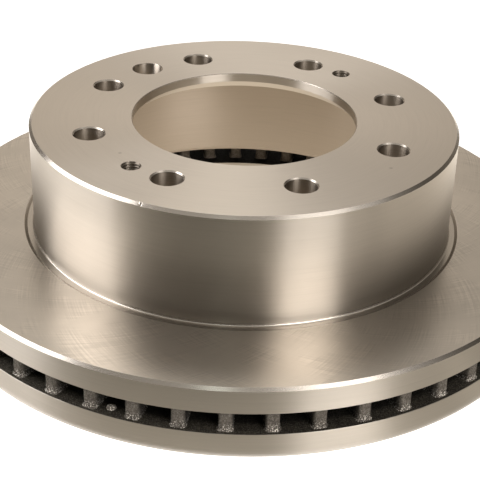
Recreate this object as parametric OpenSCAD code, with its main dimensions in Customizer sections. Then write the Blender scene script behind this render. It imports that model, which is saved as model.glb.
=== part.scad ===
// Ventilated brake disc with a deep hat: one grey-iron casting, machined on its
// working faces.  The frame stands on the inboard friction face, with +Z up the
// disc's axis towards the wheel side, and its origin on the axis.

/* [Friction ring] */
// Outside diameter of both cheeks
disc_d = 325; // [300:0.5:360]
// Thickness of the inboard cheek, the lower one
inboard_cheek = 12.4; // [9:0.1:18]
// Height of the vent gap between the cheeks
vent_gap = 11.3; // [7:0.1:18]
// Thickness of the outboard cheek, the one that carries the hat
outboard_cheek = 13.3; // [9:0.1:18]
// Step from the drum surface out to the bore of the inboard cheek
inboard_step = 5.9; // [4:0.1:9]
// Chamfer round the outer edge of the outboard friction face
rim_chamfer = 1.45; // [0.5:0.05:3]
// Broken edge at the other corners of the cheeks
edge_break = 0.4; // [0.1:0.1:1]

/* [Vanes] */
// Number of straight radial vanes
vane_count = 47; // [24:1:52]
// Thickness of one vane, with its ends full round
vane_t = 6.2; // [4:0.1:9]
// Distance of the vanes' outer ends in from the rim
vane_outer_inset = 4; // [1:0.5:10]
// Distance of the vanes' inner ends out from the bore of the inboard cheek
vane_inner_inset = 7.6; // [4:0.1:16]
// Direction of the first vane, in degrees from +X
vane_phase = 0.4; // [0:0.1:7]

/* [Hat] */
// Outside diameter of the hat
hat_d = 222.3; // [218:0.1:226]
// Height of the hat above the outboard friction face
hat_h = 56.7; // [40:0.1:80]
// Thickness of the mounting plate on top of the hat
plate_t = 9.1; // [7:0.1:14]
// Chamfer round the top of the hat
hat_chamfer = 1.4; // [0.5:0.1:3]
// Thickness of the hat wall, from the outside in to the parking-brake drum surface
hat_wall = 5.65; // [4:0.05:8]
// Lead-in chamfer at the open end of the drum surface
drum_chamfer = 2.8; // [1:0.1:5]
// Radius of the inner corner between the plate and the hat wall
corner_r = 3; // [1:0.5:6]

/* [Relief groove] */
// Width of the groove's floor round the foot of the hat
groove_floor = 3.5; // [2:0.1:5]
// Width of the groove's sloped side, out to the friction face
groove_slope = 1.5; // [0.5:0.1:3]
// Depth of the groove below the friction face
groove_depth = 1; // [0.5:0.1:2]
// Radius at the foot of the hat wall
root_r = 1; // [0.5:0.1:2]

/* [Hub bore] */
// Diameter of the bore that centres the disc on the hub
bore_d = 116.8; // [100:0.1:130]
// Chamfer at the lower end of the bore
bore_chamfer = 4.4; // [1:0.1:6]
// Broken edge at the upper end of the bore
bore_edge = 0.3; // [0.1:0.1:1]

/* [Wheel stud holes] */
// Number of wheel stud holes
lug_count = 8; // [4:1:10]
// Diameter of the circle through the wheel stud holes
lug_pcd = 165.1; // [158:0.1:176]
// Diameter of one wheel stud hole
lug_d = 15.5; // [12:0.1:18]
// Chamfer at the upper edge of each wheel stud hole
lug_chamfer = 0.65; // [0.2:0.05:1.5]
// Direction of the first wheel stud hole, in degrees from +X
lug_phase = 19.6; // [0:0.1:45]

/* [Service holes] */
// Diameter of the hole that reaches the parking-brake adjuster
access_d = 16.7; // [10:0.1:18]
// Minor diameter of the two threaded holes for the jacking screws
jack_minor_d = 8.5; // [6:0.1:10]
// Diameter of the countersink over each threaded hole
jack_sink_d = 10; // [8:0.1:12]
// Angle from a wheel stud hole back to the threaded hole beside it
jack_offset = 15; // [13:0.5:22]

/* [Casting] */
// Radius of the rounded lump left on the floor of one vent channel
lump_r = 2.6; // [1.5:0.1:4]
// Depth of the lump's centre below that floor
lump_sink = 1; // [0:0.1:1.2]
// Distance of the lump in from the rim
lump_inset = 8; // [4:0.5:20]

/* [Hidden] */
$fn = 96;
iron = [0.70, 0.66, 0.61];
// Radii and levels that follow from the sizes above
disc_r = disc_d / 2;
hat_r = hat_d / 2;
drum_r = hat_r - hat_wall;
bore_r = bore_d / 2;
inboard_r = drum_r + inboard_step;
floor_r = hat_r + groove_floor;
lip_r = floor_r + groove_slope;
gap_bottom = inboard_cheek;
gap_top = gap_bottom + vent_gap;
face_z = gap_top + outboard_cheek;
top_z = face_z + hat_h;
plate_z = top_z - plate_t;
groove_z = face_z - groove_depth;
lug_r = lug_pcd / 2;
lug_pitch = 360 / lug_count;
// How far a vane's ends reach into the two cheeks, and how far a cut runs past a face
seat = 0.5;
past = 1;
// The channel that holds the casting lump lies between two vanes near this direction
lump_channel = floor((250 - vane_phase) * vane_count / 360) + 0.5;

// Fills a concave corner of a profile with a fillet.  The corner lies at the
// origin, and the free quarter is towards +X and +Y.
module fillet(r) {
    difference() {
        translate([-past, -past]) square(r + past);
        translate([r, r]) circle(r);
    }
}

// Section of the inboard cheek, right of the axis
module inboard_section() {
    polygon([
        [inboard_r + edge_break, 0],
        [disc_r - edge_break, 0],
        [disc_r, edge_break],
        [disc_r, gap_bottom - edge_break],
        [disc_r - edge_break, gap_bottom],
        [inboard_r + edge_break, gap_bottom],
        [inboard_r, gap_bottom - edge_break],
        [inboard_r, edge_break]
    ]);
}

// Section of the outboard cheek with the hat, right of the axis
module outboard_section() {
    polygon([
        [drum_r + drum_chamfer, gap_top],
        [disc_r - edge_break, gap_top],
        [disc_r, gap_top + edge_break],
        [disc_r, face_z - rim_chamfer],
        [disc_r - rim_chamfer, face_z],
        [lip_r, face_z],
        [floor_r, groove_z],
        [hat_r, groove_z],
        [hat_r, top_z - hat_chamfer],
        [hat_r - hat_chamfer, top_z],
        [bore_r + bore_edge, top_z],
        [bore_r, top_z - bore_edge],
        [bore_r, plate_z + bore_chamfer],
        [bore_r + bore_chamfer, plate_z],
        [drum_r, plate_z],
        [drum_r, gap_top + drum_chamfer]
    ]);
    translate([hat_r, groove_z]) fillet(root_r);
    translate([drum_r, plate_z]) rotate(180) fillet(corner_r);
}

// Outline of one vane along +X, seen from above
module vane_outline() {
    inner = inboard_r + vane_inner_inset + vane_t / 2;
    outer = disc_r - vane_outer_inset - vane_t / 2;
    translate([inner, -vane_t / 2]) square([outer - inner, vane_t]);
    translate([inner, 0]) circle(d = vane_t);
    translate([outer, 0]) circle(d = vane_t);
}

module vanes() {
    for (i = [0 : vane_count - 1])
        rotate(vane_phase + i * 360 / vane_count)
            translate([0, 0, gap_bottom - seat])
                linear_extrude(vent_gap + 2 * seat) vane_outline();
}

// The lump that the sand core left on the floor of one channel
module casting_lump() {
    rotate(vane_phase + lump_channel * 360 / vane_count)
        translate([disc_r - lump_inset, 0, gap_bottom - lump_sink]) sphere(lump_r);
}

// A plain hole down through the mounting plate, with its upper edge chamfered
module plate_hole(d, chamfer) {
    translate([0, 0, plate_z - past]) cylinder(d = d, h = plate_t + 2 * past);
    translate([0, 0, top_z - chamfer])
        cylinder(d1 = d, d2 = d + 2 * (chamfer + past), h = chamfer + past);
}

// Places its children on the bolt circle, at an angle from the first stud hole
module on_circle(angle) {
    rotate(lug_phase + angle) translate([lug_r, 0, 0]) children();
}

module stud_holes() {
    for (i = [0 : lug_count - 1]) on_circle(i * lug_pitch) plate_hole(lug_d, lug_chamfer);
}

// The adjuster hole lies midway between two stud holes
module access_hole() {
    on_circle(2.5 * lug_pitch) plate_hole(access_d, edge_break / 2);
}

// Two threaded holes, each just before a stud hole, on opposite sides
module jacking_holes() {
    for (stud = [1, floor(lug_count / 2) + 1])
        on_circle(stud * lug_pitch - jack_offset)
            plate_hole(jack_minor_d, (jack_sink_d - jack_minor_d) / 2);
}

module brake_disc() {
    color(iron)
        difference() {
            union() {
                rotate_extrude() inboard_section();
                rotate_extrude() outboard_section();
                vanes();
                casting_lump();
            }
            stud_holes();
            access_hole();
            jacking_holes();
        }
}

brake_disc();
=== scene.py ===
import math

import bpy
import numpy as np
from mathutils import Matrix, Vector, geometry, noise


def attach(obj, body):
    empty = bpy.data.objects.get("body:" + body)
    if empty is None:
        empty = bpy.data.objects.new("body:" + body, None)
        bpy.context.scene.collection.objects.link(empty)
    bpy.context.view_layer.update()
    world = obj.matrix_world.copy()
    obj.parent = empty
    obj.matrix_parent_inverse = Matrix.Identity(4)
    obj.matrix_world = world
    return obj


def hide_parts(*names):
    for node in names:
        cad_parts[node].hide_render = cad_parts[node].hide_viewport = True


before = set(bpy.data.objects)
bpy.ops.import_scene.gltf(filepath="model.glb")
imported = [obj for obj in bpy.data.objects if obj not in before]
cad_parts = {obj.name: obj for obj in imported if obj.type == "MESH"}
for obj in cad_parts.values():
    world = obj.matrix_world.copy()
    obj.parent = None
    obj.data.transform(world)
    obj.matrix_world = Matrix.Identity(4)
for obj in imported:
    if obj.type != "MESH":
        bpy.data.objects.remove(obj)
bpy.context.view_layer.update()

# Sizes are in millimetres and directions in degrees from +X. The mesh is scaled to metres at the end.
RIM, INBOARD_BORE = 162.5, 111.4
GAP_LOW, GAP_HIGH, FACE, TOP, PLATE = 12.4, 23.7, 37.0, 93.7, 84.6
HAT, DRUM, BORE = 111.15, 105.5, 58.4
EDGE, GAP_EDGE, BORE_EDGE = 0.4, 0.15, 0.3
RIM_CHAMFER, HAT_CHAMFER, BORE_CHAMFER, DRUM_CHAMFER = 1.45, 1.4, 4.4, 2.8
ROOT_R, CORNER_R = 1.0, 3.0
# Radius and height along the relief groove, from the friction face in to its floor
LIP_OUT, LIP_MID, LIP_IN, FLOOR_OUT = (116.62, FACE), (116.27, 36.95), (115.9, 36.833), (114.65, 36.0)
GROOVE, GROOVE_SLOPE = 36.0, math.atan2(1, 1.5)
# Both parts of a 45-degree normal
DIAGONAL = 0.7071
# The nick in the hat's chamfer: its direction, half its width in degrees, its depth at the top edge, and how
# many times as deep it is halfway down
NICK, NICK_HALF, NICK_DEPTH, NICK_HOLLOW = 245.3, 0.45, 0.45, 1.3

LUG_R, LUG_PHASE, LUG_PITCH = 82.55, 19.6, 45
MINOR, MAJOR, PITCH = 4.25, 5.0, 1.5
HOLE_STEPS, THREAD_STEPS, THREAD_LEVELS = 72, 48, 50
# Direction in which the adjuster hole's shading leans, in radians
DRAFT_TO = 0.75

# A vane's ends as if they were full round, and the radius of the corners that they have
VANES, VANE_PHASE, VANE_HALF = 47, 0.4, 3.1
VANE_IN, VANE_OUT, VANE_CORNER = 122.1, 157.0, 1.5
CORE_IN = VANE_IN - VANE_HALF + VANE_CORNER
CORE_OUT = VANE_OUT + VANE_HALF - VANE_CORNER
CORE_HALF = VANE_HALF - VANE_CORNER
END_STEPS, SIDE_STEPS = 16, 8
LOW_FILLET, HIGH_FILLET = 0.8, 0.6

LUMP_R, LUMP_SINK, LUMP_INSET, LUMP_TURN = 2.6, 1.0, 6.4, 0.35
LUMP_FOOT, LUMP_TIP, LUMP_STEPS = 2.4, 1.62, 28
# Room for rounding where a face's triangles are told from the ones under a foot
SLACK = 1e-4

# One list of directions serves every ring, with more of them beside the nick
STEPS = sorted(
    set(np.round(np.arange(0, 360, 0.75), 3)) | set(np.round(np.arange(NICK - 1.5, NICK + 1.5, 0.15), 3))
)
AZ = np.radians(np.array(STEPS))
COS, SIN = np.cos(AZ), np.sin(AZ)

ZONES = (
    "turned_face", "turned_wall", "chamfer", "ground_face", "rim", "groove", "bore_wall", "bore_chamfer",
    "drum_wall", "hub_face", "drilled", "reamed", "cast_skin", "cast_vane", "cast_lump",
)
ZONE = {name: i for i, name in enumerate(ZONES)}


class Skin:
    """The casting's surface: points, faces, zones and exact normals where they are known."""

    def __init__(self):
        self.points, self.size = [], 0
        self.quads, self.quad_zone, self.quad_normal = [], [], []
        self.tris, self.tri_zone, self.tri_normal = [], [], []

    def add(self, points):
        points = np.asarray(points, float)
        first = self.size
        self.points.append(points)
        self.size += len(points)
        return np.arange(first, self.size)

    def where(self, index):
        return np.concatenate(self.points)[index]

    def strip(self, a, b, zone, na=None, nb=None, outward=None):
        """Quads between two closed rings. Their normals are na and nb, or else outward tells the front."""
        a2, b2 = np.roll(a, -1), np.roll(b, -1)
        p = np.concatenate(self.points)
        front = np.cross(p[a2] - p[a], p[b] - p[a])
        turn = np.sum(front * (outward if na is None else na)) < 0
        if na is None:
            na = nb = np.zeros((len(a), 3))
        quad = np.stack([a, a2, b2, b], 1)
        normal = np.stack([na, np.roll(na, -1, 0), np.roll(nb, -1, 0), nb], 1)
        if turn:
            quad, normal = quad[:, ::-1], normal[:, ::-1]
        self.quads.append(quad)
        self.quad_normal.append(normal)
        self.quad_zone.append(np.full(len(quad), ZONE[zone]))

    def fan(self, base, tip, zone):
        """Triangles from a closed ring to one point."""
        n = len(base)
        self.tris.append(np.stack([base, np.roll(base, -1), np.full(n, tip)], 1))
        self.tri_zone.append(np.full(n, ZONE[zone]))
        self.tri_normal.append(np.zeros((n, 3, 3)))

    def plate(self, up, zone, rings, open_at):
        """A flat face bounded by these rings. open_at(x, y) says if a point is in a hole or past the edge."""
        index = np.concatenate(rings)
        p = self.where(index)[:, :2]
        edges, first = [], 0
        for loop in rings:
            n = len(loop)
            edges += [(first + k, first + (k + 1) % n) for k in range(n)]
            first += n
        found = geometry.delaunay_2d_cdt([Vector(v) for v in p.tolist()], edges, [], 0, 1e-7)
        assert len(found[0]) == len(p)
        order = np.array([o[0] for o in found[3]])
        tri = order[np.array(found[2])]
        mid = p[tri].mean(1)
        tri = tri[~open_at(mid[:, 0], mid[:, 1])]
        corner = p[tri]
        ab, ac = corner[:, 1] - corner[:, 0], corner[:, 2] - corner[:, 0]
        flip = (ab[:, 0] * ac[:, 1] - ab[:, 1] * ac[:, 0] < 0) == up
        tri[flip] = tri[flip][:, ::-1]
        self.tris.append(index[tri])
        self.tri_zone.append(np.full(len(tri), ZONE[zone]))
        self.tri_normal.append(np.tile([0, 0, 1.0 if up else -1.0], (len(tri), 3, 1)))

    def mesh(self, name):
        points = np.concatenate(self.points) / 1000
        quads, tris = np.concatenate(self.quads), np.concatenate(self.tris)
        loops = np.concatenate([quads.ravel(), tris.ravel()])
        starts = np.concatenate([np.arange(len(quads)) * 4, len(quads) * 4 + np.arange(len(tris)) * 3])
        zones = np.concatenate(self.quad_zone + self.tri_zone)
        parts = (self.quad_normal, self.tri_normal)
        normals = np.concatenate([np.concatenate(part).reshape(-1, 3) for part in parts])
        me = bpy.data.meshes.new(name)
        me.vertices.add(len(points))
        me.vertices.foreach_set("co", points.ravel())
        me.loops.add(len(loops))
        me.loops.foreach_set("vertex_index", loops.astype(np.int32))
        me.polygons.add(len(starts))
        me.polygons.foreach_set("loop_start", starts.astype(np.int32))
        me.polygons.foreach_set("material_index", zones.astype(np.int32))
        me.update(calc_edges=True)
        me.validate()
        me.polygons.foreach_set("use_smooth", np.ones(len(starts), bool))
        me.normals_split_custom_set(normals.tolist())
        me.update()
        return me


skin = Skin()


def turns(n):
    return np.arange(n) * 2 * math.pi / n


def ring(r, z):
    """A ring round the disc's axis. r and z may vary along it."""
    r = np.broadcast_to(np.asarray(r, float), COS.shape)
    z = np.broadcast_to(np.asarray(z, float), COS.shape)
    return skin.add(np.stack([r * COS, r * SIN, z], 1))


def around(nr, nz):
    return np.stack([nr * COS, nr * SIN, np.full(COS.shape, float(nz))], 1)


def flat(a, b, zone, nr, nz):
    """A plain turned surface between two rings, with one normal along its profile."""
    n = around(nr, nz)
    skin.strip(a, b, zone, n, n)


def dented(a, b, zone):
    """A turned surface between two uneven rings, with normals that follow them."""
    p, q = skin.where(a), skin.where(b)
    n = np.cross(np.roll(p + q, -1, 0) - np.roll(p + q, 1, 0), q - p)
    n /= np.linalg.norm(n, axis=1)[:, None]
    skin.strip(a, b, zone, n, n)


def arc(first, last, centre, radius, start, end, steps, zone, side=1, wobble=0.0):
    """A rounded corner between two rings. side is -1 where the corner is concave."""
    angles = np.radians(np.linspace(start, end, steps + 1))
    reach = radius + wobble
    middle = [ring(centre[0] + reach * math.cos(a), centre[1] + reach * math.sin(a)) for a in angles[1:-1]]
    rings = [first, *middle, last]
    normals = [around(side * math.cos(a), side * math.sin(a)) for a in angles]
    for k in range(steps):
        skin.strip(rings[k], rings[k + 1], zone, normals[k], normals[k + 1])


def chips(seed, depth):
    """Small uneven bites along a broken edge."""
    bites = [noise.noise(Vector((c * 160, s * 160, seed))) for c, s in zip(COS, SIN)]
    return -depth * np.maximum(0.0, np.array(bites) - 0.15)


# Inboard cheek
low_in, low_out = ring(INBOARD_BORE + EDGE, 0), ring(RIM - EDGE, 0)
wall_low, wall_high = ring(RIM, EDGE), ring(RIM, GAP_LOW - GAP_EDGE)
gap_low_out, gap_low_in = ring(RIM - GAP_EDGE, GAP_LOW), ring(INBOARD_BORE + EDGE, GAP_LOW)
bore_high, bore_low = ring(INBOARD_BORE, GAP_LOW - EDGE), ring(INBOARD_BORE, EDGE)
flat(low_in, low_out, "ground_face", 0, -1)
arc(low_out, wall_low, (RIM - EDGE, EDGE), EDGE, -90, 0, 3, "chamfer")
flat(wall_low, wall_high, "rim", 1, 0)
gap_corner = (RIM - GAP_EDGE, GAP_LOW - GAP_EDGE)
arc(wall_high, gap_low_out, gap_corner, GAP_EDGE, 0, 90, 3, "rim", wobble=chips(3.0, 0.5))
bore_corner = (INBOARD_BORE + EDGE, GAP_LOW - EDGE)
arc(gap_low_in, bore_high, bore_corner, EDGE, 90, 180, 3, "chamfer", wobble=chips(5.0, 0.4))
flat(bore_high, bore_low, "bore_wall", -1, 0)
arc(bore_low, low_in, (INBOARD_BORE + EDGE, EDGE), EDGE, 180, 270, 3, "chamfer")

# Rim and friction face of the outboard cheek
gap_high_out = ring(RIM - GAP_EDGE, GAP_HIGH)
face_low, face_high = ring(RIM, GAP_HIGH + GAP_EDGE), ring(RIM, FACE - RIM_CHAMFER)
gap_corner = (RIM - GAP_EDGE, GAP_HIGH + GAP_EDGE)
arc(gap_high_out, face_low, gap_corner, GAP_EDGE, -90, 0, 3, "rim", wobble=chips(9.0, 0.4))
flat(face_low, face_high, "rim", 1, 0)
face_out = ring(RIM - RIM_CHAMFER, FACE)
flat(face_high, face_out, "chamfer", DIAGONAL, DIAGONAL)
lip_out, lip_in = ring(*LIP_OUT), ring(*LIP_IN)
flat(face_out, lip_out, "ground_face", 0, 1)

# Relief groove, with a rounded lip
lip_mid = ring(*LIP_MID)
turn_mid = around(-math.sin(GROOVE_SLOPE / 2), math.cos(GROOVE_SLOPE / 2))
turn_in = around(-math.sin(GROOVE_SLOPE), math.cos(GROOVE_SLOPE))
skin.strip(lip_out, lip_mid, "groove", around(0, 1), turn_mid)
skin.strip(lip_mid, lip_in, "groove", turn_mid, turn_in)
floor_out, floor_in = ring(*FLOOR_OUT), ring(HAT + ROOT_R, GROOVE)
skin.strip(lip_in, floor_out, "groove", turn_in, turn_in)
flat(floor_out, floor_in, "groove", 0, 1)
root_top = ring(HAT, FACE)
arc(floor_in, root_top, (HAT + ROOT_R, FACE), ROOT_R, 270, 180, 5, "chamfer", side=-1)

# Hat wall and its chamfer, with the nick
off_nick = np.abs(np.array(STEPS) - NICK)
dent = np.where(off_nick < NICK_HALF, NICK_DEPTH * np.cos(off_nick / NICK_HALF * math.pi / 2), 0.0)
hollow = HAT_CHAMFER / 2 + dent * NICK_HOLLOW
hat_high, hat_top = ring(HAT, TOP - HAT_CHAMFER), ring(HAT - HAT_CHAMFER - dent, TOP)
hat_mid = ring(HAT - hollow, TOP - hollow)
flat(root_top, hat_high, "turned_wall", 1, 0)
dented(hat_high, hat_mid, "chamfer")
dented(hat_mid, hat_top, "chamfer")

# Hub bore, underside of the mounting plate and drum surface
bore_edge, bore_top = ring(BORE + BORE_EDGE, TOP), ring(BORE, TOP - BORE_EDGE)
flat(bore_edge, bore_top, "chamfer", -DIAGONAL, DIAGONAL)
bore_end, plate_in = ring(BORE, PLATE + BORE_CHAMFER), ring(BORE + BORE_CHAMFER, PLATE)
flat(bore_top, bore_end, "bore_wall", -1, 0)
flat(bore_end, plate_in, "bore_chamfer", -DIAGONAL, -DIAGONAL)
plate_out, drum_top = ring(DRUM - CORNER_R, PLATE), ring(DRUM, PLATE - CORNER_R)
arc(plate_out, drum_top, (DRUM - CORNER_R, PLATE - CORNER_R), CORNER_R, 90, 0, 6, "drum_wall", side=-1)
drum_end, gap_high_in = ring(DRUM, GAP_HIGH + DRUM_CHAMFER), ring(DRUM + DRUM_CHAMFER, GAP_HIGH)
flat(drum_top, drum_end, "drum_wall", -1, 0)
flat(drum_end, gap_high_in, "drum_wall", -DIAGONAL, -DIAGONAL)


def hole_ring(centre, r, z, n):
    a = turns(n)
    return skin.add(np.stack([centre[0] + r * np.cos(a), centre[1] + r * np.sin(a), np.full(n, z)], 1))


def hole_normals(n, nr, nz):
    """Normals of a hole's wall. nr is their part towards its axis."""
    a = turns(n)
    return np.stack([-nr * np.cos(a), -nr * np.sin(a), np.full(n, float(nz))], 1)


def on_circle(angle):
    a = math.radians(LUG_PHASE + angle)
    return LUG_R * math.cos(a), LUG_R * math.sin(a)


# Plain holes: centre, radius, chamfer, zone, and by how much the shading leans up, all round and on one side
plain_holes = [(on_circle(LUG_PITCH * k), 7.75, 0.65, "drilled", 5, 0) for k in range(8)]
plain_holes.append((on_circle(2.5 * LUG_PITCH), 8.35, 0.2, "reamed", 3, 23))
top_holes, plate_holes = [], []
for centre, r, chamfer, zone, lean, draft in plain_holes:
    mouth = hole_ring(centre, r + chamfer, TOP, HOLE_STEPS)
    neck = hole_ring(centre, r, TOP - chamfer, HOLE_STEPS)
    end = hole_ring(centre, r, PLATE, HOLE_STEPS)
    slant = hole_normals(HOLE_STEPS, DIAGONAL, DIAGONAL)
    one_side = np.clip(np.cos(turns(HOLE_STEPS) - DRAFT_TO), 0, 1) ** 2
    tilt = np.radians(lean + draft * one_side)[:, None]
    wall = hole_normals(HOLE_STEPS, 1, 0) * np.cos(tilt) + np.array([0, 0, 1.0]) * np.sin(tilt)
    skin.strip(mouth, neck, "chamfer", slant, slant)
    skin.strip(neck, end, zone, wall, wall)
    top_holes.append((centre, mouth))
    plate_holes.append((centre, end))


def thread_radius(a, z):
    """A 60-degree thread with flats at its crest and root, cut by the countersink at its mouth."""
    phase = (z / PITCH + a / (2 * math.pi)) % 1.0
    rise = np.clip((0.5 - np.abs(phase - 0.5)) * 2.6 - 0.3, 0, 1)
    return np.maximum(MINOR + (MAJOR - MINOR) * rise, MAJOR - (TOP - z))


for angle in (30, 210):
    centre = on_circle(angle)
    levels = np.linspace(TOP, PLATE, THREAD_LEVELS)
    rings = [hole_ring(centre, thread_radius(turns(THREAD_STEPS), z), z, THREAD_STEPS) for z in levels]
    for a, b in zip(rings, rings[1:]):
        skin.strip(a, b, "drilled", outward=hole_normals(THREAD_STEPS, 1, 0))
    top_holes.append((centre, rings[0]))
    plate_holes.append((centre, rings[-1]))


def past(x, y, index, centre=(0.0, 0.0), directions=AZ):
    """How far points lie past a closed ring, from its centre. directions are those of the ring's points."""
    p = skin.where(index)
    edge = np.hypot(p[:, 0] - centre[0], p[:, 1] - centre[1])
    edge, directions = np.append(edge, edge[0]), np.append(directions, 2 * math.pi)
    a = np.arctan2(y - centre[1], x - centre[0]) % (2 * math.pi)
    k = np.clip(np.searchsorted(directions, a, "right") - 1, 0, len(directions) - 2)
    before, after = a - directions[k], directions[k + 1] - a
    chord = edge[k] * edge[k + 1] * np.sin(before + after)
    chord /= edge[k] * np.sin(before) + edge[k + 1] * np.sin(after)
    return np.hypot(x - centre[0], y - centre[1]) - chord


def plate_test(inner, outer, holes):
    def open_at(x, y):
        bad = (past(x, y, inner) < 0) | (past(x, y, outer) > 0)
        for centre, index in holes:
            bad |= past(x, y, index, centre, turns(len(index))) < 0
        return bad

    return open_at


skin.plate(
    True, "turned_face", [hat_top, bore_edge] + [index for _, index in top_holes],
    plate_test(bore_edge, hat_top, top_holes),
)
skin.plate(
    False, "hub_face", [plate_out, plate_in] + [index for _, index in plate_holes],
    plate_test(plate_in, plate_out, plate_holes),
)

# Vanes: a bar each with blunt ends, cast fillets into both cheeks and an uneven sand skin.
# The outline holds the points of the bar's core and the directions from them to the surface.
outline = []
for start, sign in ((-90, 1), (90, -1)):
    edge, far = (CORE_OUT, CORE_IN) if sign > 0 else (CORE_IN, CORE_OUT)
    for b in np.radians(np.linspace(start, start + 180, END_STEPS + 1)):
        nx, ny = math.cos(b), math.sin(b)
        sides = (-sign, sign) if abs(ny) < 1e-6 else (math.copysign(1, ny),)
        outline += [(edge, CORE_HALF * side, nx, ny) for side in sides]
    for k in range(1, SIDE_STEPS):
        outline.append((edge + (far - edge) * k / SIDE_STEPS, CORE_HALF * sign, 0.0, float(sign)))
outline = np.array(outline)
# Flare and height of a vane's rings, from its foot up
quarter = np.radians(np.linspace(0, 90, 5))
profile = [(LOW_FILLET * (1 - math.sin(t)), GAP_LOW + LOW_FILLET * (1 - math.cos(t))) for t in quarter]
profile += [(0.0, z) for z in np.linspace(GAP_LOW + LOW_FILLET, GAP_HIGH - HIGH_FILLET, 9)[1:-1]]
profile += [
    (HIGH_FILLET * (1 - math.sin(t)), GAP_HIGH - HIGH_FILLET * (1 - math.cos(t))) for t in quarter[::-1]
]
low_feet, high_feet = [], []
for v in range(VANES):
    a = math.radians(VANE_PHASE + v * 360 / VANES)
    ca, sa = math.cos(a), math.sin(a)
    lean = 0.12 * math.sin(v * 2.4)
    rings = []
    for level, (flare, z) in enumerate(profile):
        points = []
        for x, y, nx, ny in outline:
            lx, ly = x + nx * (VANE_CORNER + flare), y + ny * (VANE_CORNER + flare)
            if 0 < level < len(profile) - 1:
                seed = Vector((lx * 0.9, ly * 0.9 + v * 17.0, z * 0.9))
                bump = 0.16 * noise.noise(seed) + 0.10 * noise.noise(seed * 2.7)
                if z < GAP_LOW + 3:
                    bump += 0.20 * noise.noise(seed * 1.4 + Vector((5, 5, 5)))
                lx += nx * bump
                ly += ny * bump + lean
            points.append((lx * ca - ly * sa, lx * sa + ly * ca, z))
        rings.append(skin.add(points))
    nx, ny = outline[:, 2], outline[:, 3]
    outward = np.stack([nx * ca - ny * sa, nx * sa + ny * ca, np.zeros(len(outline))], 1)
    for p, q in zip(rings, rings[1:]):
        skin.strip(p, q, "cast_vane", outward=outward)
    low_feet.append((a, VANE_CORNER + LOW_FILLET, rings[0]))
    high_feet.append((a, VANE_CORNER + HIGH_FILLET, rings[-1]))

# The lump on the floor of the channel nearest to 250 degrees
channel = math.floor((250 - VANE_PHASE) * VANES / 360) + 0.5
lump_a = math.radians(VANE_PHASE + channel * 360 / VANES - LUMP_TURN)
lump_x, lump_y = (RIM - LUMP_INSET) * math.cos(lump_a), (RIM - LUMP_INSET) * math.sin(lump_a)
lump_cos, lump_sin = np.cos(turns(LUMP_STEPS)), np.sin(turns(LUMP_STEPS))
lump_rings = []
for level, lift in enumerate(np.radians([22.6, 32, 44, 58, 74])):
    r, z = LUMP_R * math.cos(lift), GAP_LOW - LUMP_SINK + LUMP_R * math.sin(lift)
    points = []
    for c, s in zip(lump_cos, lump_sin):
        swell, height = 1.0, GAP_LOW
        if level:
            swell = 1 + 0.16 * noise.noise(Vector((c * 2.2, s * 2.2, level * 0.8)))
            height = z * swell + GAP_LOW * (1 - swell)
        points.append((lump_x + swell * r * c, lump_y + swell * r * s, height))
    lump_rings.append(skin.add(points))
outward = np.stack([lump_cos, lump_sin, np.full(LUMP_STEPS, 0.3)], 1)
for p, q in zip(lump_rings, lump_rings[1:]):
    skin.strip(p, q, "cast_lump", outward=outward)
skin.fan(lump_rings[-1], skin.add([(lump_x, lump_y, GAP_LOW + LUMP_TIP)])[0], "cast_lump")


def cheek_test(inner, outer, feet, lump):
    facet = math.cos(math.radians(180 / END_STEPS) / 2) - SLACK

    def open_at(x, y):
        bad = (past(x, y, inner) < 0) | (past(x, y, outer) > 0)
        for a, reach, _ in feet:
            u, w = x * math.cos(a) + y * math.sin(a), -x * math.sin(a) + y * math.cos(a)
            du, dw = u - np.clip(u, CORE_IN, CORE_OUT), w - np.clip(w, -CORE_HALF, CORE_HALF)
            bad |= np.hypot(du, dw) < np.where((du != 0) & (dw != 0), reach * facet, reach - SLACK)
        if lump:
            bad |= np.hypot(x - lump_x, y - lump_y) < LUMP_FOOT * math.cos(math.pi / LUMP_STEPS) - SLACK
        return bad

    return open_at


skin.plate(
    True, "cast_skin", [gap_low_out, gap_low_in] + [index for _, _, index in low_feet] + [lump_rings[0]],
    cheek_test(gap_low_in, gap_low_out, low_feet, True),
)
skin.plate(
    False, "cast_skin", [gap_high_out, gap_high_in] + [index for _, _, index in high_feet],
    cheek_test(gap_high_in, gap_high_out, high_feet, False),
)

disc = bpy.data.objects.new("disc_casting", skin.mesh("disc_casting"))
bpy.context.scene.collection.objects.link(disc)
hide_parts("brake_disc")
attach(disc, "root")


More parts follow.
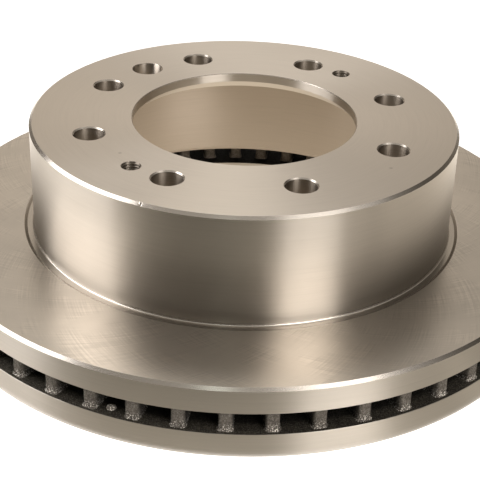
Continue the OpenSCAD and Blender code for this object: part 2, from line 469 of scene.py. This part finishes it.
class Shade:
    """Short names for building a material's nodes."""

    def __init__(self, name):
        self.mat = bpy.data.materials.new(name)
        self.mat.use_nodes = True
        self.tree = self.mat.node_tree
        self.tree.nodes.clear()

    def node(self, kind, **settings):
        n = self.tree.nodes.new("ShaderNode" + kind)
        for key, value in settings.items():
            setattr(n, key, value)
        return n

    def link(self, source, socket):
        if hasattr(source, "is_output"):
            self.tree.links.new(source, socket)
        else:
            socket.default_value = source

    def math(self, op, *values):
        n = self.node("Math", operation=op)
        for value, socket in zip(values, n.inputs):
            self.link(value, socket)
        return n.outputs[0]

    def times(self, a, b):
        return self.math("MULTIPLY", a, b)

    def weigh(self, *parts):
        """The sum of values, each times its weight."""
        terms = [self.times(value, weight) for value, weight in parts]
        total = terms[0]
        for term in terms[1:]:
            total = self.math("ADD", total, term)
        return total

    def vector(self, x, y, z):
        n = self.node("CombineXYZ")
        for value, socket in zip((x, y, z), n.inputs):
            self.link(value, socket)
        return n.outputs[0]

    def noise(self, vector, scale, detail=2.0, rough=0.5):
        n = self.node("TexNoise", noise_dimensions="3D")
        self.link(vector, n.inputs["Vector"])
        n.inputs["Scale"].default_value = scale
        n.inputs["Detail"].default_value = detail
        n.inputs["Roughness"].default_value = rough
        return n.outputs["Fac"]

    def spread(self, value, low, high, a=0.0, b=1.0):
        """Runs from a to b where the value runs from low to high."""
        n = self.node("MapRange", clamp=True)
        for v, s in zip((value, low, high, a, b), n.inputs):
            self.link(v, s)
        return n.outputs[0]

    def tint(self, value, stops):
        n = self.node("ValToRGB")
        ramp = n.color_ramp
        while len(ramp.elements) < len(stops):
            ramp.elements.new(0.5)
        for element, (at, colour) in zip(ramp.elements, stops):
            element.position = at
            element.color = (*colour, 1)
        self.link(value, n.inputs[0])
        return n.outputs[0]

    def mix(self, factor, a, b):
        n = self.node("Mix", data_type="RGBA")
        self.link(factor, n.inputs[0])
        self.link(a, n.inputs[6])
        self.link(b, n.inputs[7])
        return n.outputs[2]

    def scale(self, colour, factor):
        n = self.node("VectorMath", operation="SCALE")
        self.link(colour, n.inputs[0])
        self.link(factor, n.inputs["Scale"])
        return n.outputs[0]

    def place(self):
        """Finds the position on the object, with its distance from the axis and its direction."""
        self.obj = self.node("TexCoord").outputs["Object"]
        split = self.node("SeparateXYZ")
        self.link(self.obj, split.inputs[0])
        self.x, self.y, self.z = split.outputs
        self.r = self.math("SQRT", self.weigh((self.x, self.x), (self.y, self.y)))
        self.cos, self.sin = self.math("DIVIDE", self.x, self.r), self.math("DIVIDE", self.y, self.r)

    def turn(self):
        """The direction from +X as a share of a full turn."""
        return self.math("FRACT", self.math("DIVIDE", self.math("ARCTAN2", self.y, self.x), 2 * math.pi))

    def emit(self, colour, strength):
        n = self.node("Emission")
        self.link(colour, n.inputs["Color"])
        self.link(strength, n.inputs["Strength"])
        return n.outputs[0]

    def finish(self, surface):
        self.link(surface, self.node("OutputMaterial").inputs[0])
        return self.mat

    def metal(
        self, colour, rough, aniso, bump, strength, depth=0.00002, metallic=1.0, level=0.5, own_axis=False
    ):
        """own_axis lays the tool marks round each hole's own axis, and not round the disc's."""
        p = self.node("BsdfPrincipled")
        self.link(colour, p.inputs["Base Color"])
        self.link(rough, p.inputs["Roughness"])
        p.inputs["Metallic"].default_value = metallic
        p.inputs["Specular IOR Level"].default_value = level
        if aniso:
            p.inputs["Anisotropic"].default_value = aniso
            p.inputs["Anisotropic Rotation"].default_value = 0.25
            if own_axis:
                tangent = self.node("VectorMath", operation="CROSS_PRODUCT")
                tangent.inputs[0].default_value = (0, 0, 1)
                self.link(self.node("NewGeometry").outputs["Normal"], tangent.inputs[1])
            else:
                tangent = self.node("Tangent", direction_type="RADIAL", axis="Z")
            self.link(tangent.outputs[0], p.inputs["Tangent"])
        b = self.node("Bump")
        b.inputs["Strength"].default_value = strength
        b.inputs["Distance"].default_value = depth
        self.link(bump, b.inputs["Height"])
        self.link(b.outputs[0], p.inputs["Normal"])
        return self.finish(p.outputs[0])


IRON = (0.60, 0.552, 0.49)
# Two faint dark spots on the top face, and how they fade with distance, in metres
SPOTS = ((-0.0601, -0.0491, 0.0937), (0.0714, -0.0562, 0.0937))
SPOT_FADE = (0.0004, 0.0013, 0.75, 1.0)
# Heights between which the hat wall's foot fades from its darker tone: painted shade low on the wall
WALL_FOOT_SHADE = (0.042, 0.072, 0.72, 1.0)


def tone(k, warm=0.0):
    return (IRON[0] * k * (1 + warm), IRON[1] * k, IRON[2] * k * (1 - warm))


def turned(
    zone, along, k, rough, aniso, lines,
    vary=0.03, strength=0.15, warm=0.0, foot=None, own_axis=False, spots=(),
):
    """A turned surface of tone k. along is the way across its tool marks: "r" on faces, "z" on walls."""
    s = Shade("iron_" + zone)
    s.place()
    across = s.r if along == "r" else s.z
    fine = s.noise(s.vector(s.times(across, 5200), s.times(s.cos, 5), s.times(s.sin, 5)), 1.0)
    broad = s.noise(s.vector(s.times(across, 900), s.times(s.cos, 2.5), s.times(s.sin, 2.5)), 1.0)
    cloud = s.noise(s.obj, 45.0, 3.0)
    mix = s.weigh((fine, 0.45), (broad, 0.35), (cloud, 0.2))
    dark, light = tone(k * (1 - lines * 0.5), warm), tone(k * (1 + lines * 0.3), warm)
    colour = s.tint(mix, [(0.36, dark), (0.5, tone(k, warm)), (0.64, light)])
    # foot darkens the surface towards the bottom: painted shade
    if foot:
        colour = s.scale(colour, s.spread(s.z, *foot))
    for spot in spots:
        away = s.node("VectorMath", operation="DISTANCE")
        s.link(s.obj, away.inputs[0])
        away.inputs[1].default_value = spot
        colour = s.scale(colour, s.spread(away.outputs["Value"], *SPOT_FADE))
    roughness = s.spread(s.weigh((broad, 0.5), (cloud, 0.5)), 0.3, 0.7, rough - vary, rough + vary)
    return s.metal(colour, roughness, aniso, fine, strength, own_axis=own_axis)


def ground(zone, k, rough):
    """A ground face: fine arcs of two hands that cross all over it."""
    s = Shade("iron_" + zone)
    s.place()
    direction = s.math("ARCTAN2", s.y, s.x)
    hairs = []
    for twist, offset in ((9.0, 0.0), (-11.0, 7.0)):
        angle = s.math("ADD", direction, s.times(s.r, twist))
        u = s.vector(
            s.times(s.math("COSINE", angle), 110),
            s.times(s.math("SINE", angle), 110),
            s.math("ADD", s.times(s.r, 60), offset),
        )
        hairs.append(s.noise(u, 1.0, 3.0, 0.6))
    cloud = s.noise(s.obj, 28.0, 3.0)
    patch = s.spread(s.noise(s.obj, 70.0, 2.0), 0.42, 0.60, 0.1, 1.1)
    hair = s.times(s.math("SUBTRACT", s.math("ADD", *hairs), 1.0), s.times(patch, 0.5))
    mix = s.math("ADD", hair, s.math("ADD", s.times(cloud, 0.3), 0.35))
    colour = s.tint(mix, [(0.40, tone(k * 0.88)), (0.5, tone(k)), (0.60, tone(k * 1.12))])
    roughness = s.spread(mix, 0.4, 0.6, rough + 0.04, rough - 0.04)
    return s.metal(colour, roughness, 0.0, hair, 0.025)


def cast(zone, dark, light, strength, spark, reach, inner=0.0):
    """Raw sand-cast skin: matt and pitted, with bright specks near the floor.

    It gets darker inward from the radius reach: painted shade in the vent channels. inner is its tone at the
    vanes' inner ends, where it paints light.
    """
    s = Shade("iron_" + zone)
    s.place()
    grain = s.noise(s.obj, 1500.0, 3.0, 0.65)
    mix = s.weigh((grain, 0.6), (s.noise(s.obj, 420.0, 3.0, 0.6), 0.4))
    middle = tuple((a + b) / 2 for a, b in zip(dark, light))
    sand = s.tint(mix, [(0.42, dark), (0.56, middle), (0.68, light)])
    speck = s.spread(s.noise(s.obj, 1700.0, 1.0), 0.56, 0.62)
    low = s.times(s.spread(s.z, 0.0135, 0.0165, 1.0, 0.12), s.spread(s.r, 0.132, 0.145))
    flecked = s.mix(s.times(s.times(speck, low), spark), sand, (1.0, 0.95, 0.86, 1))
    # Painted shade: the skin darkens inward from reach into the vent channels; inner paints light on the
    # vanes' inner ends
    outer = s.spread(s.r, reach, reach + 0.003, 0.3, 1.0)
    colour = s.scale(flecked, s.math("MAXIMUM", outer, s.spread(s.r, 0.122, 0.130, inner, 0.0)))
    roughness = s.spread(grain, 0.35, 0.7, 0.8, 0.55)
    return s.metal(colour, roughness, 0.0, mix, strength, 0.0006, metallic=0.3, level=0.3)


materials = [
    turned("turned_face", "r", 1.0, 0.34, 0.78, 0.10, spots=SPOTS),
    turned("turned_wall", "z", 1.0, 0.30, 0.97, 0.10, vary=0.015, foot=WALL_FOOT_SHADE),
    turned("chamfer", "z", 0.94, 0.25, 0.4, 0.04, vary=0.01, strength=0.03),
    ground("ground_face", 0.99, 0.335),
    turned("rim", "z", 1.0, 0.38, 0.98, 0.12),
    turned("groove", "r", 0.84, 0.24, 0.3, 0.15),
    turned("bore_wall", "z", 0.95, 0.36, 1.0, 0.12, vary=0.015),
    turned("bore_chamfer", "z", 1.2, 0.36, 0.8, 0.08, vary=0.015),
    turned("drum_wall", "z", 0.86, 0.42, 0.85, 0.10, warm=0.06),
    turned("hub_face", "r", 0.95, 0.4, 0.2, 0.14),
    # The drilled holes' low tone, 0.44, is painted shade on the walls inside the holes
    turned("drilled", "z", 0.44, 0.50, 0.88, 0.3, vary=0.12, warm=0.06, own_axis=True),
    turned("reamed", "z", 0.62, 0.34, 0.8, 0.15, warm=0.04, own_axis=True),
    # The channel floors' skin is much darker than the vanes' skin of the same iron: painted shade in the vent
    # channels
    cast("cast_skin", (0.02, 0.017, 0.012), (0.085, 0.074, 0.055), 0.5, 0.08, 0.153),
    cast("cast_vane", (0.105, 0.091, 0.076), (0.24, 0.215, 0.182), 0.7, 1.0, 0.156, 2.0),
    cast("cast_lump", (0.14, 0.125, 0.105), (0.44, 0.4, 0.34), 1.0, 1.4, 0.150),
]
by_name = {material.name: material for material in materials}
for zone in ZONES:
    disc.data.materials.append(by_name["iron_" + zone])


def stage_piece(name, verts, faces):
    mesh = bpy.data.meshes.new(name)
    mesh.from_pydata(verts, [], faces)
    piece = bpy.data.objects.new(name, mesh)
    bpy.context.scene.collection.objects.link(piece)
    return piece


# Floor: white to the camera and to reflections, with the disc's shadow kept
floor = stage_piece("floor", [(-4, -4, 0), (4, -4, 0), (4, 4, 0), (-4, 4, 0)], [(0, 1, 2, 3)])
floor.location.z = -0.0002
s = Shade("floor_white")
path = s.node("LightPath").outputs
seen = s.math("MAXIMUM", path["Is Camera Ray"], path["Is Glossy Ray"])
seen = s.math("MAXIMUM", seen, path["Is Transmission Ray"])
paint = s.node("BsdfDiffuse")
paint.inputs["Color"].default_value = (0.8, 0.8, 0.8, 1)
both = s.node("AddShader")
s.link(paint.outputs[0], both.inputs[0])
s.link(s.emit((1, 1, 1, 1), s.times(seen, 0.72)), both.inputs[1])
floor.data.materials.append(s.finish(both.outputs[0]))

# World: plain white
world = bpy.data.worlds.new("white")
bpy.context.scene.world = world
world.use_nodes = True
world.node_tree.nodes["Background"].inputs["Color"].default_value = (1, 1, 1, 1)
world.node_tree.nodes["Background"].inputs["Strength"].default_value = 1.0


def glow_tone(v, green, blue, peak):
    """A card's tone at one direction. Its glow is peak times as strong."""
    return (v / peak, v * green / peak, v * blue / peak)


# Studio shell: the room that the metal reflects. The camera doesn't see it.
ROOM, BANDS, SECTORS = 1.7, 20, 72
verts, faces = [], []
for i in range(BANDS + 1):
    e = math.radians(90 * i / BANDS)
    for b in turns(SECTORS):
        verts.append((ROOM * math.cos(e) * math.cos(b), ROOM * math.cos(e) * math.sin(b), ROOM * math.sin(e)))
for i in range(BANDS):
    for j in range(SECTORS):
        k = (j + 1) % SECTORS
        faces.append((i * SECTORS + j, i * SECTORS + k, (i + 1) * SECTORS + k, (i + 1) * SECTORS + j))
room = stage_piece("studio_shell", verts, faces)
room.visible_camera = False
room.visible_shadow = False
# Brightness by direction: bright behind the object, dark round the camera and at the right
BACK = (
    (0, 0.05), (25, 0.10), (40, 0.17), (52, 0.24), (64, 0.34), (76, 0.61), (90, 0.97), (103, 0.76),
    (116, 0.44), (130, 0.20), (160, 0.14), (205, 0.12), (225, 0.05), (245, 0.03), (265, 0.03), (282, 0.05),
    (300, 0.1), (330, 0.05), (360, 0.05),
)
ROOF = (0.265, 0.25, 0.23, 1)
stops = []
for a, v in BACK:
    warm = min(1.0, abs(a - 90) / 12)
    stops.append((a / 360, glow_tone(v, 0.905 - 0.02 * warm, 0.81 - 0.06 * warm, 2)))
s = Shade("studio_shell")
s.place()
high = s.math("DIVIDE", s.z, ROOM)
colour = s.mix(s.spread(high, 0.48, 0.78), s.tint(s.turn(), stops), ROOF)
room.data.materials.append(s.finish(s.emit(colour, s.spread(high, 0.26, 0.57, 2.25, 1.9))))

# Table round the disc, as the metal reflects it: white behind, dim in front, and the camera doesn't see it
CARD_RINGS, CARD_HEIGHT, CARD_STEPS = (0.0005, 0.1105, 0.1632, 2.2), 0.001, 96
verts, faces = [], []
for r in CARD_RINGS:
    verts += [(r * math.cos(b), r * math.sin(b), CARD_HEIGHT) for b in turns(CARD_STEPS)]
for first in (0, 2 * CARD_STEPS):
    for j in range(CARD_STEPS):
        k = (j + 1) % CARD_STEPS
        faces.append((first + j, first + k, first + CARD_STEPS + k, first + CARD_STEPS + j))
card = stage_piece("table_card", verts, faces)
card.visible_camera = card.visible_shadow = card.visible_diffuse = card.visible_transmission = False
# Brightness by direction on the table, far from the disc and close to it
FAR = (
    (0, 1.17), (27, 1.5), (40, 1.7), (64, 2.2), (76, 2.3), (90, 2.2), (100, 2.1), (130, 2.1), (150, 1.5),
    (180, 1.25), (200, 1.05), (215, 0.5), (225, 0.31), (243, 0.14), (261, 0.13), (279, 0.28), (292, 0.62),
    (301, 0.8), (319, 0.8), (330, 0.82), (338, 1.05), (360, 1.17),
)
NEAR = (
    (0, 0.2), (40, 0.6), (90, 1.0), (150, 1.05), (180, 1.05), (194, 0.75), (207, 0.63), (220, 0.66),
    (276, 0.68), (289, 0.88), (295, 0.9), (301, 0.78), (311, 0.68), (318, 0.82), (325, 0.6), (345, 0.2),
    (360, 0.2),
)
# Painted shade: the table under the disc, inside the hat, glows dim and warm, for the disc's shadow over it
# and light bounced off the iron
UNDER_SHADE = (0.31, 0.272, 0.222, 1)
stops = []
for a, v in FAR:
    warm = max(0.0, math.cos(math.radians(a - 350)))
    deep = max(0.0, 1 - v / 0.6)
    tinted = glow_tone(v, 0.94 - 0.035 * warm - 0.02 * deep, 0.865 - 0.085 * warm - 0.16 * deep, 3)
    stops.append((a / 360, tinted))
s = Shade("table_card")
s.place()
far = s.tint(s.turn(), stops)
near = s.tint(s.turn(), [(a / 360, glow_tone(v, 0.922, 0.79, 3)) for a, v in NEAR])
colour = s.mix(s.spread(s.r, 0.215, 0.25, 1.0, 0.0), far, near)
colour = s.mix(s.spread(s.r, 0.12, 0.15, 1.0, 0.0), colour, UNDER_SHADE)
card.data.materials.append(s.finish(s.emit(colour, s.spread(s.r, 0.45, 0.85, 3.0, 0.6))))


def soft_box(name, spot, aim, width, height, glow, colour):
    """A rectangular light at spot that faces along aim. glow is its brightness, whatever its size."""
    light = bpy.data.lights.new(name, "AREA")
    light.shape = "RECTANGLE"
    light.size, light.size_y = width, height
    light.energy = glow * math.pi * width * height
    light.color = colour
    lamp = bpy.data.objects.new(name, light)
    lamp.location = spot
    lamp.rotation_euler = Vector(aim).to_track_quat("-Z", "Y").to_euler()
    bpy.context.scene.collection.objects.link(lamp)


def far_box(name, az, el, width, height, glow, colour):
    """A soft box 1.2 m away in this direction that faces the disc's middle, 0.05 m up."""
    a, e = math.radians(az), math.radians(el)
    across, above = 1.2 * math.cos(e), 1.2 * math.sin(e)
    spot = Vector((across * math.cos(a), across * math.sin(a), above + 0.05))
    soft_box(name, spot, Vector((0, 0, 0.05)) - spot, width, height, glow, colour)


WARM = (1, 0.965, 0.94)
soft_box("box_left", (-0.525, -0.0995, 0.41), (0.9525, -0.3046, 0), 0.49, 0.62, 3.75, (1, 0.98, 0.98))
far_box("box_right", 304, 23.5, 0.58, 0.80, 4.6, WARM)
far_box("box_right_top", 317, 50, 0.55, 0.36, 1.35, WARM)
far_box("box_right_side", 346, 44, 0.30, 0.30, 0.40, WARM)
far_box("box_high", 262.5, 47.7, 0.14, 0.15, 2.1, (0.9, 1, 0.96))
far_box("box_back", 96, 57, 0.36, 0.28, 3.1, (1, 0.95, 0.88))

# Camera at the photograph's angle. The view's axis passes the middle of the top face by these shifts, in
# metres: to its left and below it.
DISTANCE, EL, ROLL = 0.6682, math.radians(29.382), math.radians(1.852)
SHIFT_RIGHT, SHIFT_UP, TOP_METRES = 0.000272, 0.0646, 0.0937
FOCAL_PIXELS, PHOTO_PIXELS, SENSOR = 1283.552, 480, 36.0
ahead = Vector((0, math.cos(EL), -math.sin(EL)))
right = Vector((1, 0, 0))
up = Vector((0, math.sin(EL), math.cos(EL)))
cam_data = bpy.data.cameras.new("camera")
cam_data.sensor_fit = "HORIZONTAL"
cam_data.sensor_width = SENSOR
cam_data.lens = FOCAL_PIXELS * SENSOR / PHOTO_PIXELS
cam_data.clip_start = 0.01
camera = bpy.data.objects.new("camera", cam_data)
spot = Vector((0, 0, TOP_METRES)) - DISTANCE * ahead - SHIFT_RIGHT * right - SHIFT_UP * up
cam_x = math.cos(ROLL) * right + math.sin(ROLL) * up
cam_y = -math.sin(ROLL) * right + math.cos(ROLL) * up
axes = Matrix((cam_x, cam_y, -ahead)).transposed()
camera.matrix_world = Matrix.Translation(spot) @ axes.to_4x4()
bpy.context.scene.collection.objects.link(camera)
bpy.context.scene.camera = camera

bpy.context.scene.view_settings.view_transform = "Standard"
